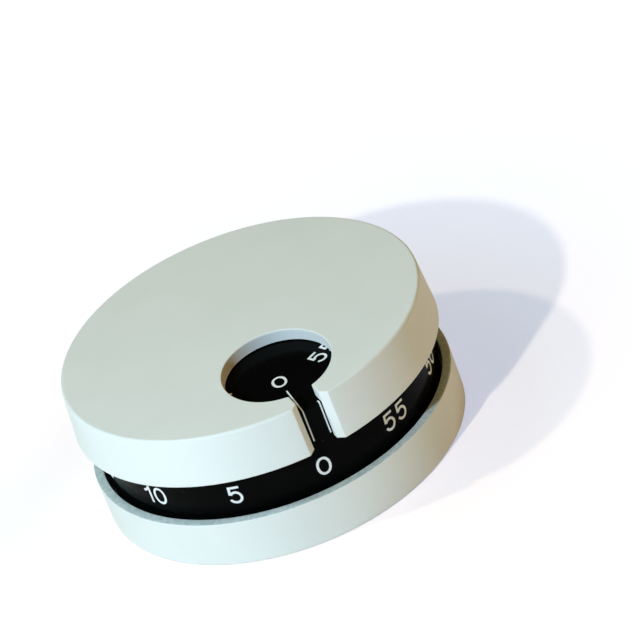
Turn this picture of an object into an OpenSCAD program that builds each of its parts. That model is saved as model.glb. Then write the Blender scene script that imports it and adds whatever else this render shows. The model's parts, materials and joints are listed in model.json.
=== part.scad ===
// Round mechanical kitchen timer: a fixed base and dial drum, a turning cap over the drum, and a
// wound gear movement with a bell inside. +Z is up, the origin is the centre of the rest face,
// and the cap's slot faces -Y.

/* [Cap] */
// Diameter of the cap at its lower rim
cap_d = 68; // [64:0.5:76]
// How far the cap's side leans in over its height
cap_lean = 0.8; // [0:0.1:1]
// Height of the cap
cap_h = 9.5; // [8.5:0.1:11]
// Thickness of the cap's top
cap_top_t = 2.2; // [1.8:0.1:3]
// Radius of the cap's top edge
cap_edge_r = 0.4; // [0.3:0.1:1.2]
// Width of the oval reading window
window_w = 19.5; // [15:0.1:22]
// Length of the oval reading window, along the slot
window_l = 22.4; // [17:0.2:23]
// Distance from the window to the cap's rim
window_margin = 5.1; // [4:0.05:6]
// Width of the slot from the window to the rim
slot_w = 4.4; // [3:0.1:6]
// Chamfer of the slot's outer upright edges
slot_chamfer = 1.2; // [0.5:0.1:2]
// Radius of the hub under the cap
hub_r = 3.8; // [3:0.1:4.5]

/* [Dial drum] */
// Thickness of the drum's side
drum_wall = 1.6; // [1.2:0.1:2]
// Thickness of the drum's top
drum_top_t = 1.6; // [1.2:0.1:2]
// Height of the drum's visible band between base and cap
band_h = 8.65; // [8:0.05:10]
// Gap between the drum and the inside of the cap, all round
drum_gap = 0.4; // [0.2:0.05:0.6]
// Gap between the top of the drum and the cap
drum_top_gap = 0.25; // [0.2:0.05:0.5]

/* [Base] */
// How far the cap stands out past the base, all round
cap_overhang = 0.5; // [0.3:0.1:1.2]
// Height of the base
base_h = 9.05; // [8.5:0.05:10]
// Thickness of the base's side
base_wall = 1.7; // [1.2:0.1:2]
// Gap between the base's side and the drum
base_gap = 0.8; // [0.4:0.1:1.2]
// Thickness of the floor
floor_t = 1.6; // [1.2:0.1:2]
// Height of the floor above the rest face
floor_recess = 0.8; // [0.75:0.05:1]
// Width of the ring that the timer rests on
rest_ring_w = 4; // [3:0.1:4.4]
// Radius of the base's lower edge
base_edge_r = 0.5; // [0.2:0.1:1]
// Number of sound holes in the floor
sound_holes = 12; // [6:1:16]
// Radius of a sound hole
sound_hole_r = 1.2; // [0.8:0.1:1.6]
// Radius of the circle that the sound holes lie on
sound_ring_r = 13; // [10:0.5:16]

/* [Movement frame] */
// Gap between the movement plates and the drum's columns
plate_inset = 1.2; // [0.8:0.1:1.6]
// Thickness of a movement plate
plate_t = 1; // [0.8:0.1:1.2]
// Distance between the plates
plate_gap = 8.6; // [8.4:0.1:9.2]
// Height of the drum's bosses above the upper plate
boss_h = 2.8; // [2.7:0.1:3.2]
// Gap between a spacer and the plates' edge
spacer_inset = 0.6; // [0.4:0.1:0.8]
// Outer radius of a spacer between the plates
spacer_r = 1.7; // [1.4:0.1:1.9]
// Shank radius of a movement screw
movement_screw_r = 0.8; // [0.6:0.1:0.9]
// Gap between the drum's columns and its side
column_inset = 0.9; // [0.6:0.1:1.2]
// Radius of the drum's columns for the case screws
column_r = 2.2; // [1.8:0.1:2.4]
// Shank radius of a case screw
case_screw_r = 1; // [0.8:0.1:1.2]
// Depth that a case screw goes into its column
case_grip = 9; // [6:0.5:12]

/* [Gear train] */
// Module of the main wheel and its pinion
main_module = 0.35; // [0.33:0.01:0.37]
// Teeth on the main wheel
main_teeth = 60; // [58:1:62]
// Leaves on the second pinion
second_leaves = 10; // [9:1:11]
// Module of the second and third wheels
train_module = 0.3; // [0.28:0.01:0.32]
// Teeth on the second and third wheels
train_teeth = 48; // [46:1:50]
// Leaves on the third and escape pinions
train_leaves = 8; // [8:1:10]
// Thickness of the toothed wheels
wheel_t = 0.8; // [0.6:0.1:0.9]
// Play between meshing teeth
backlash = 0.12; // [0.08:0.01:0.16]
// Radius of the train's arbors
arbor_r = 0.6; // [0.5:0.05:0.7]
// Radius of the train's pivots
pivot_r = 0.4; // [0.3:0.05:0.45]
// Radius of the main arbor
main_arbor_r = 1.6; // [1.4:0.1:1.8]

/* [Escapement] */
// Teeth on the escape wheel
escape_teeth = 15; // [13:2:17]
// Radius of the escape wheel at its tips
escape_r = 4.5; // [4.2:0.1:4.8]
// Depth of the escape wheel's teeth
escape_depth = 1; // [0.8:0.1:1.2]
// Radius of a pallet pin
pallet_pin_r = 0.22; // [0.18:0.01:0.25]
// Gap between the resting pallet pins and the tooth tips
pallet_gap = 0.15; // [0.12:0.01:0.2]
// Half the length of the balance bar
balance_l = 4.6; // [4:0.1:5]
// Width of the balance bar
balance_w = 1.6; // [1.4:0.1:1.8]

/* [Mainspring and ratchet] */
// Outer radius of the mainspring
spring_r = 7.4; // [6.8:0.1:7.8]
// Thickness of the spring strip
spring_t = 0.25; // [0.2:0.01:0.3]
// Width of the spring strip
spring_w = 3.6; // [3:0.1:3.8]
// Turns of the mainspring
spring_turns = 7; // [5:1:8]
// Teeth on the ratchet wheel
ratchet_teeth = 20; // [16:1:24]
// Radius of the ratchet wheel at its tips
ratchet_r = 4.5; // [4.2:0.1:4.8]

/* [Bell and hammer] */
// Outer radius of the bell
bell_r = 18; // [16.5:0.1:18.4]
// Depth of the bell
bell_depth = 4.2; // [3.6:0.1:4.4]
// Thickness of the bell
bell_t = 0.8; // [0.6:0.1:1]
// Gap between the resting hammer and the bell
hammer_gap = 1.1; // [1:0.05:1.3]
// Radius of the hammer head
hammer_head_r = 1.4; // [1.2:0.1:1.6]
// Distance from the axis to the hammer's arbor
hammer_pivot_r = 15.96; // [15.5:0.02:16.5]
// Width of the hammer's arm
hammer_w = 1.6; // [1.4:0.1:1.8]
// Radius of the cam that holds the hammer cocked
cam_r = 6.9; // [6.6:0.1:7.2]
// Depth of the notch that lets the hammer drop
cam_notch = 1.4; // [1.2:0.1:1.6]

/* [Hidden] */
$fn = 96;
// Clearances: press for pieces that are held, run for pieces that turn, free for pieces that pass
press = 0.01;
run = 0.03;
free = 0.3;
// A cut reaches this far past the face that it opens
over = 1;

// Heights of the casing
height = base_h + band_h + cap_h;
floor_z = floor_recess + floor_t;
cap_z = base_h + band_h;
cap_under_z = height - cap_top_t;
drum_z = cap_under_z - drum_top_gap;
drum_under_z = drum_z - drum_top_t;
// Radii of the casing, from the cap inwards
cap_r = cap_d / 2;
cap_top_r = cap_r - cap_lean;
window_y = cap_r - window_margin - window_l / 2;
base_r = cap_r - cap_overhang;
base_in_r = base_r - base_wall;
rest_in_r = base_r - rest_ring_w;
drum_r = base_in_r - base_gap;
drum_in_r = drum_r - drum_wall;
cap_in_r = drum_r + drum_gap;
drum_hole_r = hub_r + 0.5;
case_ring_r = drum_in_r - column_inset - column_r;
plate_r = case_ring_r - column_r - plate_inset;
spacer_ring_r = plate_r - spacer_inset - spacer_r;

// Heights of the movement, which hangs from the drum's bosses
upper_top_z = drum_under_z - boss_h;
upper_z = upper_top_z - plate_t;
lower_top_z = upper_z - plate_gap;
lower_z = lower_top_z - plate_t;
level_gap = 0.4;
ratchet_t = 0.8;
ratchet_z = lower_top_z + free;
main_wheel_z = ratchet_z + ratchet_t + level_gap;
second_wheel_z = main_wheel_z + wheel_t + 2 * level_gap;
third_wheel_z = second_wheel_z + wheel_t + 2 * level_gap;
spring_z = upper_z - free - spring_w;
escape_t = 0.6;
pallet_t = 0.6;
pallet_z = upper_z - free - pallet_t;
escape_z = pallet_z - level_gap - escape_t;
leaf_over = 0.25;

// The cap turns this far between its stops
cap_travel = 345;

// Gear sizes and the centres of the arbors
pressure_angle = 20;
second_dir = 90;
third_dir = 11.75;
escape_dir = -43.4;
pallet_dir = -75;
main_pitch_r = main_module * main_teeth / 2;
second_pinion_r = main_module * second_leaves / 2;
train_wheel_r = train_module * train_teeth / 2;
train_pinion_r = train_module * train_leaves / 2;
train_centre = train_wheel_r + train_pinion_r;
second_at = polar(main_pitch_r + second_pinion_r, second_dir);
third_at = second_at + polar(train_centre, third_dir);
escape_at = third_at + polar(train_centre, escape_dir);
// The pins span three and a half tooth pitches, on a line that is tangent to the wheel
pallet_half = 1.75 * 360 / escape_teeth;
pin_orbit_r = escape_r + pallet_pin_r + pallet_gap;
pallet_at = escape_at + polar(pin_orbit_r / cos(pallet_half), pallet_dir);

// Frame angles
spacer_angles = [130, 220, 315];
column_angles = [100, 220, 340];

// Stop: the pin lies midway in the angle that the arm doesn't sweep
stop_r = 9;
stop_arm_r = 10;
stop_arm_w = 1;
stop_pin_r = 0.5;
stop_arm_dir = 40;
stop_pin_at = polar(stop_r, stop_arm_dir + (360 - cap_travel) / 2);

// Bell, cam and hammer
screw_head_h = 0.7;
bell_head_h = 0.9;
bell_screw_r = 0.9;
clip_t = 0.3;
arbor_foot = clip_t + 0.3;
bell_top_z = lower_z - arbor_foot - free - bell_head_h;
bell_h = min(bell_depth, bell_top_z - floor_z - free);
bell_post_r = 3;
hammer_at = polar(hammer_pivot_r, 175);
hammer_dir = 205;
hammer_arbor_r = 0.7;
hammer_arm_t = 0.9;
hammer_head_at = polar(bell_r + hammer_gap + hammer_head_r, hammer_dir);
arm_z = lower_z - free / 2 - hammer_arm_t;
cam_t = 0.8;
cam_z = upper_top_z + free;
stop_arm_z = cam_z + cam_t + 0.2;
stop_arm_t = 0.8;
follower_dir = 215.7;
follower_r = 0.7;
follower_at = polar(cam_r + follower_r + free, follower_dir);
tail_l = norm(follower_at - hammer_at);
tail_along = (follower_at - hammer_at) / tail_l;
tail_out = [tail_along[1], -tail_along[0]];
hammer_spring_post_at = hammer_at + (0.47 * tail_along + 0.59 * tail_out) * tail_l;
cam_notch_half = 25;

// Ratchet click, in the main wheel's frame
click_dir = -90;
click_t = ratchet_t;
ratchet_depth = 0.6;
click_post_r = 0.5;
click_side = 0.1;
click_at = [1.245 * ratchet_r, -1.044 * ratchet_r];
click_eye_r = 2.1 * click_post_r;
click_spring_at = [-0.53 * ratchet_r, -1.67 * ratchet_r];

function polar(r, a) = [r * cos(a), r * sin(a)];

// Points of an arc, for outlines
function arc(centre, r, from, to, steps = 8) =
    [for (i = [0:steps]) centre + polar(r, from + (to - from) * i / steps)];

function oval(w, l, steps = 96) =
    [for (i = [0:steps - 1]) [w / 2 * cos(360 * i / steps), l / 2 * sin(360 * i / steps)]];

// Angle between a tooth's middle and its involute flank, at radius r
function inv_angle(base_r, r) = let (a = acos(min(1, base_r / r))) tan(a) * 180 / PI - a;
function flank_angle(pitch_r, tooth_w, r) =
    let (base_r = pitch_r * cos(pressure_angle))
    tooth_w / 2 / pitch_r * 180 / PI + inv_angle(base_r, pitch_r) - inv_angle(base_r, r);

// Outline of a spur gear with a tooth on the +X axis
function gear_points(teeth, module_size, tip_r, root_r) =
    let (
        pitch_r = teeth * module_size / 2,
        base_r = pitch_r * cos(pressure_angle),
        tooth_w = PI * module_size / 2 - backlash / 2,
        low_r = max(base_r, root_r),
        radii = [root_r, low_r + 0.001, (low_r + tip_r) / 2, tip_r]
    )
    [for (i = [0:teeth - 1], side = [-1, 1], k = [0:3])
        let (r = radii[side < 0 ? k : 3 - k])
        polar(r, 360 * i / teeth + side * flank_angle(pitch_r, tooth_w, r))];

// A wheel's tips stop where they would cut under the flanks of its small pinion
function wheel_tip_r(wheel_r, pinion_r, module_size) =
    let (
        base_r = wheel_r * cos(pressure_angle),
        reach = (wheel_r + pinion_r) * sin(pressure_angle),
        limit = sqrt(base_r * base_r + reach * reach)
    )
    min(wheel_r + 0.6 * module_size, wheel_r + 0.9 * (limit - wheel_r));

module ring(r_out, r_in, h) {
    difference() {
        cylinder(r = r_out, h = h);
        translate([0, 0, -over]) cylinder(r = r_in, h = h + 2 * over);
    }
}

module at(point, z = 0) {
    translate([point[0], point[1], z]) children();
}

module polar_copies(r, angles) {
    for (a = angles) rotate([0, 0, a]) translate([r, 0, 0]) children();
}

// A flat bar between two points, with round ends
module link(a, b, w, t) {
    d = b - a;
    at(a) cylinder(d = w, h = t);
    at(b) cylinder(d = w, h = t);
    at(a) rotate([0, 0, atan2(d[1], d[0])]) translate([0, -w / 2, 0]) cube([norm(d), w, t]);
}

module screw(shank_r, length, head_r, head_h) {
    translate([0, 0, -head_h]) cylinder(r = head_r, h = head_h);
    cylinder(r = shank_r, h = length);
}

// Base shell

case_head_r = min(1.9, rest_in_r - case_ring_r - 0.2);

module base_profile() {
    polygon(concat(
        [[0, floor_recess], [rest_in_r, floor_recess], [rest_in_r, 0]],
        arc([base_r - base_edge_r, base_edge_r], base_edge_r, -90, 0),
        [[base_r, base_h], [base_in_r, base_h], [base_in_r, floor_z], [0, floor_z]]
    ));
}

module base_shell() {
    post_h = bell_top_z - bell_t - floor_z;
    color("whitesmoke") difference() {
        union() {
            rotate_extrude() base_profile();
            translate([0, 0, floor_recess]) cylinder(r = bell_post_r, h = floor_t + post_h);
        }
        translate([0, 0, floor_z]) cylinder(r = bell_screw_r + press, h = post_h + over);
        polar_copies(case_ring_r, column_angles)
            cylinder(r = case_screw_r + free / 2, h = floor_z + over);
        polar_copies(sound_ring_r, [for (i = [0:sound_holes - 1]) 360 * i / sound_holes])
            cylinder(r = sound_hole_r, h = floor_z + over);
    }
}

case_screw_l = floor_t + case_grip;

module case_screws() {
    color("silver") polar_copies(case_ring_r, column_angles)
        translate([0, 0, floor_recess])
            screw(case_screw_r, case_screw_l, case_head_r, screw_head_h);
}

// Dial drum

drum_edge_r = 0.3;

module drum_profile() {
    polygon(concat(
        [[drum_hole_r, drum_under_z], [drum_in_r, drum_under_z], [drum_in_r, floor_z], [drum_r, floor_z]],
        arc([drum_r - drum_edge_r, drum_z - drum_edge_r], drum_edge_r, 0, 90, 4),
        [[drum_hole_r, drum_z]]
    ));
}

module dial_drum() {
    hole_over = 0.4;
    boss_r = 2.2;
    color("black") difference() {
        union() {
            rotate_extrude() drum_profile();
            polar_copies(spacer_ring_r, spacer_angles)
                translate([0, 0, upper_top_z]) cylinder(r = boss_r, h = boss_h + drum_top_t / 2);
            polar_copies(case_ring_r, column_angles) translate([0, 0, floor_z])
                cylinder(r = column_r, h = drum_under_z - floor_z + drum_top_t / 2);
        }
        polar_copies(spacer_ring_r, spacer_angles) translate([0, 0, upper_top_z - over])
            cylinder(r = movement_screw_r + press, h = boss_grip + over + hole_over);
        polar_copies(case_ring_r, column_angles) translate([0, 0, floor_z - over])
            cylinder(r = case_screw_r + press, h = case_screw_l - floor_t + over + hole_over);
    }
}

// Turning cap

cap_lower_round = 0.3;
// Radius of the cap's side, which leans in a little towards the top
function cap_side_r(z) = cap_r + (cap_top_r - cap_r) * (z - cap_z) / cap_h;

module cap_profile() {
    polygon(concat(
        [[0, cap_under_z], [cap_in_r, cap_under_z], [cap_in_r, cap_z], [cap_r - cap_lower_round, cap_z]],
        [[cap_side_r(cap_z + cap_lower_round), cap_z + cap_lower_round]],
        arc([cap_top_r - cap_edge_r, height - cap_edge_r], cap_edge_r, 0, 90),
        [[0, height]]
    ));
}

// The slot runs from the window out past the rim, and its outer upright edges are chamfered
module slot_outline() {
    rim_x = slot_w / 2 + slot_chamfer;
    rim_y = -sqrt(pow(cap_r, 2) - pow(rim_x, 2));
    past = cap_r + over + rim_y;
    side = [[slot_w / 2, -window_y], [slot_w / 2, rim_y + slot_chamfer], [rim_x + past, rim_y - past]];
    mirrored = [for (i = [len(side) - 1:-1:0]) [-side[i][0], side[i][1]]];
    polygon(concat(side, mirrored));
}

flat_cut = 0.5;
// The arbor's end and the hub's hole share this outline, less the press gap
module d_prism(r, h) {
    difference() {
        cylinder(r = r, h = h);
        translate([main_arbor_r - flat_cut + (r - main_arbor_r), -2 * r, -over])
            cube([4 * r, 4 * r, h + 2 * over]);
    }
}

hub_z = stop_arm_z + stop_arm_t + free;
arbor_end_z = height - 1.5;

module turning_cap() {
    color("whitesmoke") difference() {
        union() {
            rotate_extrude() cap_profile();
            translate([0, 0, hub_z]) cylinder(r = hub_r, h = cap_under_z - hub_z + cap_top_t / 2);
        }
        translate([0, -window_y, cap_under_z - over])
            linear_extrude(cap_top_t + 2 * over) polygon(oval(window_w, window_l));
        translate([0, 0, cap_z - over]) linear_extrude(cap_h + 2 * over) slot_outline();
        translate([0, 0, hub_z - over])
            d_prism(main_arbor_r + press, arbor_end_z - hub_z + over + 2 * press);
    }
}

// Movement frame

bush_r = 2.8;
main_pivot_r = 1;
train_at = [second_at, third_at, escape_at, pallet_at];

module plate_blank() {
    difference() {
        cylinder(r = plate_r, h = plate_t);
        translate([0, 0, -over]) cylinder(r = bush_r + press, h = plate_t + 2 * over);
        for (p = train_at) at(p, -over) cylinder(r = pivot_r + run, h = plate_t + 2 * over);
        at(hammer_at, -over) cylinder(r = hammer_arbor_r + run, h = plate_t + 2 * over);
        polar_copies(spacer_ring_r, spacer_angles)
            translate([0, 0, -over]) cylinder(r = movement_screw_r + free / 2, h = plate_t + 2 * over);
    }
}

module lower_plate() {
    color("goldenrod") translate([0, 0, lower_z]) plate_blank();
}

module upper_plate() {
    color("goldenrod") translate([0, 0, upper_z]) difference() {
        plate_blank();
        at(spring_post_at, -over) cylinder(r = spring_post_r + press, h = plate_t + 2 * over);
        at(stop_pin_at, -over) cylinder(r = stop_pin_r + press, h = plate_t + 2 * over);
        at(hammer_spring_post_at, -over) cylinder(r = stop_pin_r + press, h = plate_t + 2 * over);
    }
}

module plate_spacers() {
    color("gold") polar_copies(spacer_ring_r, spacer_angles)
        translate([0, 0, lower_top_z]) ring(spacer_r, movement_screw_r + free / 2, plate_gap);
}

boss_grip = boss_h - 0.6;

module movement_screws() {
    head_r = 1.5;
    head_h = 1;
    color("silver") polar_copies(spacer_ring_r, spacer_angles) translate([0, 0, lower_z])
        screw(movement_screw_r, plate_gap + 2 * plate_t + boss_grip, head_r, head_h);
}

module arbor_bushes() {
    color("gold") {
        translate([0, 0, lower_z]) ring(bush_r, main_pivot_r + run, plate_t);
        translate([0, 0, upper_z]) ring(bush_r, main_arbor_r + run, plate_t);
    }
}

// Bell

module bell_profile() {
    rim = [bell_r - bell_h, bell_top_z - bell_h];
    polygon(concat(
        arc(rim, bell_h, 0, 90),
        [[0, bell_top_z], [0, bell_top_z - bell_t]],
        arc(rim, bell_h - bell_t, 90, 0)
    ));
}

module bell() {
    color("lightsteelblue") difference() {
        rotate_extrude() bell_profile();
        translate([0, 0, bell_top_z - bell_t - over])
            cylinder(r = bell_screw_r + free / 2, h = bell_t + 2 * over);
    }
}

module bell_screw() {
    head_r = 2;
    length = min(4, bell_top_z - floor_z - 0.5);
    color("silver") translate([0, 0, bell_top_z]) mirror([0, 0, 1])
        screw(bell_screw_r, length, head_r, bell_head_h);
}

// Mainspring, with its outer end at a post that hangs from the upper plate

collet_r = main_arbor_r + 0.7;
spring_post_r = 0.6;
spring_post_dir = 200;
spring_post_at = polar(spring_r + spring_post_r + 0.05, spring_post_dir);

module mainspring() {
    steps = 24 * spring_turns;
    first_r = collet_r + spring_t / 2 + 0.1;
    last_r = spring_r - spring_t / 2;
    line = [for (i = [0:steps]) [first_r + (last_r - first_r) * i / steps,
        spring_post_dir - 360 * spring_turns + 360 * spring_turns * i / steps]];
    outer = [for (p = line) polar(p[0] + spring_t / 2, p[1])];
    inner = [for (i = [steps:-1:0]) polar(line[i][0] - spring_t / 2, line[i][1])];
    color("slategray") translate([0, 0, spring_z]) linear_extrude(spring_w) polygon(concat(outer, inner));
}

module spring_post() {
    color("silver") at(spring_post_at, spring_z)
        cylinder(r = spring_post_r, h = upper_top_z - spring_z);
}

module stop_pin() {
    color("silver") at(stop_pin_at, upper_z)
        cylinder(r = stop_pin_r, h = stop_arm_z + stop_arm_t - upper_z);
}

// Main arbor and what turns with it

module main_arbor() {
    color("silver") union() {
        translate([0, 0, lower_z - arbor_foot])
            cylinder(r = main_pivot_r, h = plate_t + arbor_foot + free / 2);
        translate([0, 0, lower_top_z + free / 2])
            cylinder(r = main_arbor_r, h = hub_z - lower_top_z - free / 2);
        translate([0, 0, hub_z]) d_prism(main_arbor_r, arbor_end_z - hub_z);
    }
}

module arbor_clip() {
    clip_r = 2;
    color("dimgray") translate([0, 0, lower_z - clip_t - run]) ring(clip_r, main_pivot_r + press, clip_t);
}

module spring_collet() {
    color("gold") translate([0, 0, spring_z]) ring(collet_r, main_arbor_r + press, spring_w);
}

// Saw teeth that push the click anticlockwise; the click's nose sits just past a tooth's face
module ratchet_wheel() {
    pitch = 360 / ratchet_teeth;
    low_r = ratchet_r - ratchet_depth;
    points = [for (i = [0:ratchet_teeth - 1], r = [ratchet_r, low_r]) polar(r, click_dir + i * pitch)];
    color("goldenrod") translate([0, 0, ratchet_z]) difference() {
        linear_extrude(ratchet_t) polygon(points);
        translate([0, 0, -over]) cylinder(r = main_arbor_r + press, h = ratchet_t + 2 * over);
    }
}

// Spur wheel with its bore and a ring of lightening holes
module toothed_wheel(teeth, module_size, pinion_r, pinion_tip, bore_r, holes) {
    wheel_r = teeth * module_size / 2;
    root_r = wheel_r - pinion_tip - 0.2 * module_size;
    hole_ring_r = 0.62 * root_r;
    hole_r = 0.2 * root_r;
    difference() {
        linear_extrude(wheel_t)
            polygon(gear_points(teeth, module_size, wheel_tip_r(wheel_r, pinion_r, module_size), root_r));
        translate([0, 0, -over]) cylinder(r = bore_r, h = wheel_t + 2 * over);
        polar_copies(hole_ring_r, [for (i = [0:holes - 1]) 360 * i / holes])
            translate([0, 0, -over]) cylinder(r = hole_r, h = wheel_t + 2 * over);
    }
}

module main_wheel() {
    color("goldenrod") translate([0, 0, main_wheel_z]) difference() {
        rotate([0, 0, second_dir])
            toothed_wheel(main_teeth, main_module, second_pinion_r, main_module, main_arbor_r + press, 0);
        for (p = [click_at, click_spring_at]) at(p, -over)
            cylinder(r = click_post_r + press, h = wheel_t + 2 * over);
    }
}

module click_post() {
    color("silver") at(click_at, ratchet_z - click_side)
        cylinder(r = click_post_r, h = main_wheel_z + wheel_t - ratchet_z + click_side);
}

module click() {
    nose_gap = 0.12;
    nose = [nose_gap, -(ratchet_r - ratchet_depth) - nose_gap];
    heel = [nose_gap, -1.2 * ratchet_r];
    throat = [0.33 * ratchet_r, -1.09 * ratchet_r];
    color("silver") translate([0, 0, ratchet_z]) difference() {
        union() {
            at(click_at) cylinder(r = click_eye_r, h = click_t);
            linear_extrude(click_t) polygon([nose, heel,
                click_at + [0, -click_eye_r], click_at, click_at + [0, click_eye_r * 0.6], throat]);
        }
        at(click_at, -over) cylinder(r = click_post_r + run, h = click_t + 2 * over);
    }
}

// A strip from a riveted foot to the back of the click
module click_spring() {
    strip_t = 0.18;
    strip_h = click_t - 2 * click_side;
    low_z = ratchet_z + click_side;
    foot_r = 0.9;
    tip = [0.49 * ratchet_r, -1.29 * ratchet_r];
    color("slategray") union() {
        at(click_spring_at, low_z) cylinder(r = foot_r, h = main_wheel_z - low_z);
        at(click_spring_at, low_z) cylinder(r = click_post_r, h = main_wheel_z + wheel_t - low_z);
        translate([0, 0, low_z]) link(click_spring_at, tip, strip_t, strip_h);
    }
}

// The cam holds the hammer off the bell, and its notch comes under the follower at zero
module zero_cam() {
    low_r = cam_r - cam_notch;
    slope = 4;
    from = follower_dir - cam_notch_half - (360 - cap_travel);
    to = follower_dir + cam_notch_half;
    outline = concat(
        arc([0, 0], cam_r, to, from + 360, 72),
        arc([0, 0], low_r, from + slope, to - slope)
    );
    color("goldenrod") translate([0, 0, cam_z]) difference() {
        linear_extrude(cam_t) polygon(outline);
        translate([0, 0, -over]) cylinder(r = main_arbor_r + press, h = cam_t + 2 * over);
    }
}

module stop_arm() {
    washer_r = main_arbor_r + 1.6;
    color("silver") translate([0, 0, stop_arm_z]) difference() {
        union() {
            cylinder(r = washer_r, h = stop_arm_t);
            link([0, 0], polar(stop_arm_r - stop_arm_w / 2, stop_arm_dir), stop_arm_w, stop_arm_t);
        }
        translate([0, 0, -over]) cylinder(r = main_arbor_r + press, h = stop_arm_t + 2 * over);
    }
}

// Train arbors, each with its pinion, and their wheels

module train_arbor(leaves, module_size, wheel_tip, pinion_z) {
    pitch_r = leaves * module_size / 2;
    root_r = max(arbor_r + 0.1, pitch_r - wheel_tip - 0.25 * module_size);
    tip_r = pitch_r + 0.9 * module_size;
    pinion_h = wheel_t + 2 * leaf_over;
    translate([0, 0, lower_z]) cylinder(r = pivot_r, h = upper_top_z - lower_z);
    translate([0, 0, lower_top_z + run]) cylinder(r = arbor_r, h = plate_gap - 2 * run);
    translate([0, 0, pinion_z - leaf_over])
        linear_extrude(pinion_h) polygon(gear_points(leaves, module_size, tip_r, root_r));
}

second_tip = wheel_tip_r(main_pitch_r, second_pinion_r, main_module) - main_pitch_r;
train_tip = wheel_tip_r(train_wheel_r, train_pinion_r, train_module) - train_wheel_r;
// A pinion's gap faces the wheel that drives it
function pinion_turn(dir, leaves) = dir + 180 + 180 / leaves;

module second_arbor() {
    color("silver") at(second_at) rotate([0, 0, pinion_turn(second_dir, second_leaves)])
        train_arbor(second_leaves, main_module, second_tip, main_wheel_z);
}

module third_arbor() {
    color("silver") at(third_at) rotate([0, 0, pinion_turn(third_dir, train_leaves)])
        train_arbor(train_leaves, train_module, train_tip, second_wheel_z);
}

module escape_arbor() {
    color("silver") at(escape_at) rotate([0, 0, pinion_turn(escape_dir, train_leaves)])
        train_arbor(train_leaves, train_module, train_tip, third_wheel_z);
}

module train_wheel(dir) {
    rotate([0, 0, dir])
        toothed_wheel(train_teeth, train_module, train_pinion_r, train_module, arbor_r + press, 5);
}

module second_wheel() {
    color("goldenrod") at(second_at, second_wheel_z) train_wheel(third_dir);
}

module third_wheel() {
    color("goldenrod") at(third_at, third_wheel_z) train_wheel(escape_dir);
}

// Pointed teeth, with a gap on the line to the pallet arbor
module escape_wheel() {
    pitch = 360 / escape_teeth;
    tip_half = 0.1;
    root_half = 0.45;
    root_r = escape_r - escape_depth;
    tooth = [[root_r, -root_half], [escape_r, -tip_half], [escape_r, tip_half], [root_r, root_half]];
    points = [for (i = [0:escape_teeth - 1], p = tooth)
        polar(p[0], i * pitch + pitch / 2 + p[1] / p[0] * 180 / PI)];
    color("goldenrod") at(escape_at, escape_z) rotate([0, 0, pallet_dir]) difference() {
        linear_extrude(escape_t) polygon(points);
        translate([0, 0, -over]) cylinder(r = arbor_r + press, h = escape_t + 2 * over);
    }
}

// Pallets

function pallet_pin_at(side) = escape_at + polar(pin_orbit_r, pallet_dir + side * pallet_half);

module pallet_arbor() {
    color("silver") at(pallet_at) union() {
        translate([0, 0, lower_z]) cylinder(r = pivot_r, h = upper_top_z - lower_z);
        translate([0, 0, lower_top_z + run]) cylinder(r = arbor_r, h = plate_gap - 2 * run);
    }
}

module pallet_lever() {
    lever_w = 1;
    color("goldenrod") translate([0, 0, pallet_z]) difference() {
        union() {
            at(pallet_at) cylinder(r = 2 * arbor_r, h = pallet_t);
            for (side = [-1, 1]) link(pallet_at, pallet_pin_at(side), lever_w, pallet_t);
        }
        at(pallet_at, -over) cylinder(r = arbor_r + press, h = pallet_t + 2 * over);
        for (side = [-1, 1]) at(pallet_pin_at(side), -over)
            cylinder(r = pallet_pin_r + press, h = pallet_t + 2 * over);
    }
}

module pallet_pins() {
    pin_over = 0.2;
    color("silver") for (side = [-1, 1]) at(pallet_pin_at(side), escape_z - pin_over)
        cylinder(r = pallet_pin_r, h = pallet_z + pallet_t - escape_z + pin_over);
}

module balance_bar() {
    bar_t = 0.8;
    weight_r = 1;
    ends = [for (side = [-1, 1]) pallet_at + polar(side * balance_l, pallet_dir + 90)];
    color("goldenrod") translate([0, 0, third_wheel_z - 0.6]) difference() {
        union() {
            link(ends[0], ends[1], balance_w, bar_t);
            for (p = ends) at(p) cylinder(r = weight_r, h = 2 * bar_t);
        }
        at(pallet_at, -over) cylinder(r = arbor_r + press, h = 2 * bar_t + 2 * over);
    }
}

// Hammer

module hammer_arbor() {
    color("silver") at(hammer_at, arm_z) cylinder(r = hammer_arbor_r, h = cam_z + cam_t - arm_z);
}

module hammer_lever(to, end_r, bore_r) {
    difference() {
        union() {
            at(hammer_at) cylinder(r = 2 * hammer_arbor_r, h = hammer_arm_t);
            link(hammer_at, to, hammer_w, hammer_arm_t);
            at(to) cylinder(r = end_r, h = hammer_arm_t);
        }
        at(hammer_at, -over) cylinder(r = hammer_arbor_r + press, h = hammer_arm_t + 2 * over);
        at(to, -over) cylinder(r = bore_r, h = hammer_arm_t + 2 * over);
    }
}

module hammer_arm() {
    color("silver") translate([0, 0, arm_z])
        hammer_lever(hammer_head_at, hammer_head_r, hammer_stem_r + press);
}

hammer_stem_r = 0.6;

// The head hangs beside the bell on a stem that is riveted into the arm
module hammer_head() {
    head_h = arm_z - bell_top_z + bell_h * 0.75;
    color("gold") at(hammer_head_at) union() {
        translate([0, 0, arm_z - head_h - press]) cylinder(r = hammer_head_r, h = head_h);
        translate([0, 0, arm_z - head_h / 2]) cylinder(r = hammer_stem_r, h = head_h / 2 + hammer_arm_t);
    }
}

module hammer_tail() {
    color("silver") translate([0, 0, cam_z]) difference() {
        union() {
            at(hammer_at) cylinder(r = 2 * hammer_arbor_r, h = cam_t);
            link(hammer_at, follower_at, 2 * follower_r, cam_t);
        }
        at(hammer_at, -over) cylinder(r = hammer_arbor_r + press, h = cam_t + 2 * over);
    }
}

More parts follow.
